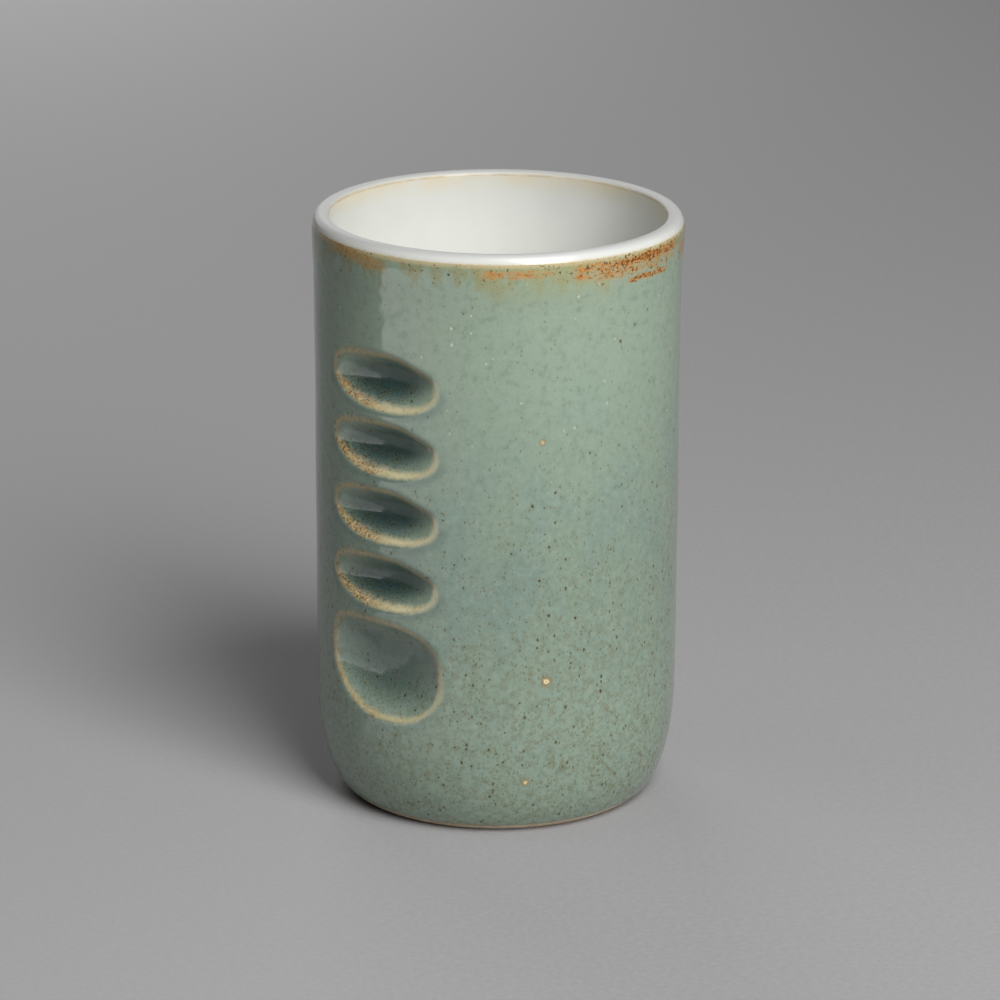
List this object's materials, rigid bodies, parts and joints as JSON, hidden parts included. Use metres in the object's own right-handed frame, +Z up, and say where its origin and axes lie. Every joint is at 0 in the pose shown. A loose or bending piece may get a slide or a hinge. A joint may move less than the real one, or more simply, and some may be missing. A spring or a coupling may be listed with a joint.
{
  "type": "brush holder pot",
  "caption": "Hand-made stoneware cylinder pot that holds brushes upright, with a column of scooped finger hollows on one side, a green glaze outside and a white liner inside.",
  "frame": {"origin": "middle of the foot, on the surface the pot stands on", "axes": "+Z up along the pot's axis; -Y points out through the column of finger hollows"},
  "size_m": [0.0892, 0.0892, 0.144],
  "materials": {
    "stoneware": "bare fired clay, matt, with brown iron specks",
    "celadon_glaze": "glossy pale green celadon with brown specks, cream edges on the hollows and rust streaks under the rim",
    "white_glaze": "satin-gloss milk white liner"
  },
  "bodies": {
    "root": {"clay_body": "stoneware", "outer_glaze": "celadon_glaze", "liner_glaze": "white_glaze"}
  },
  "joints": []
}
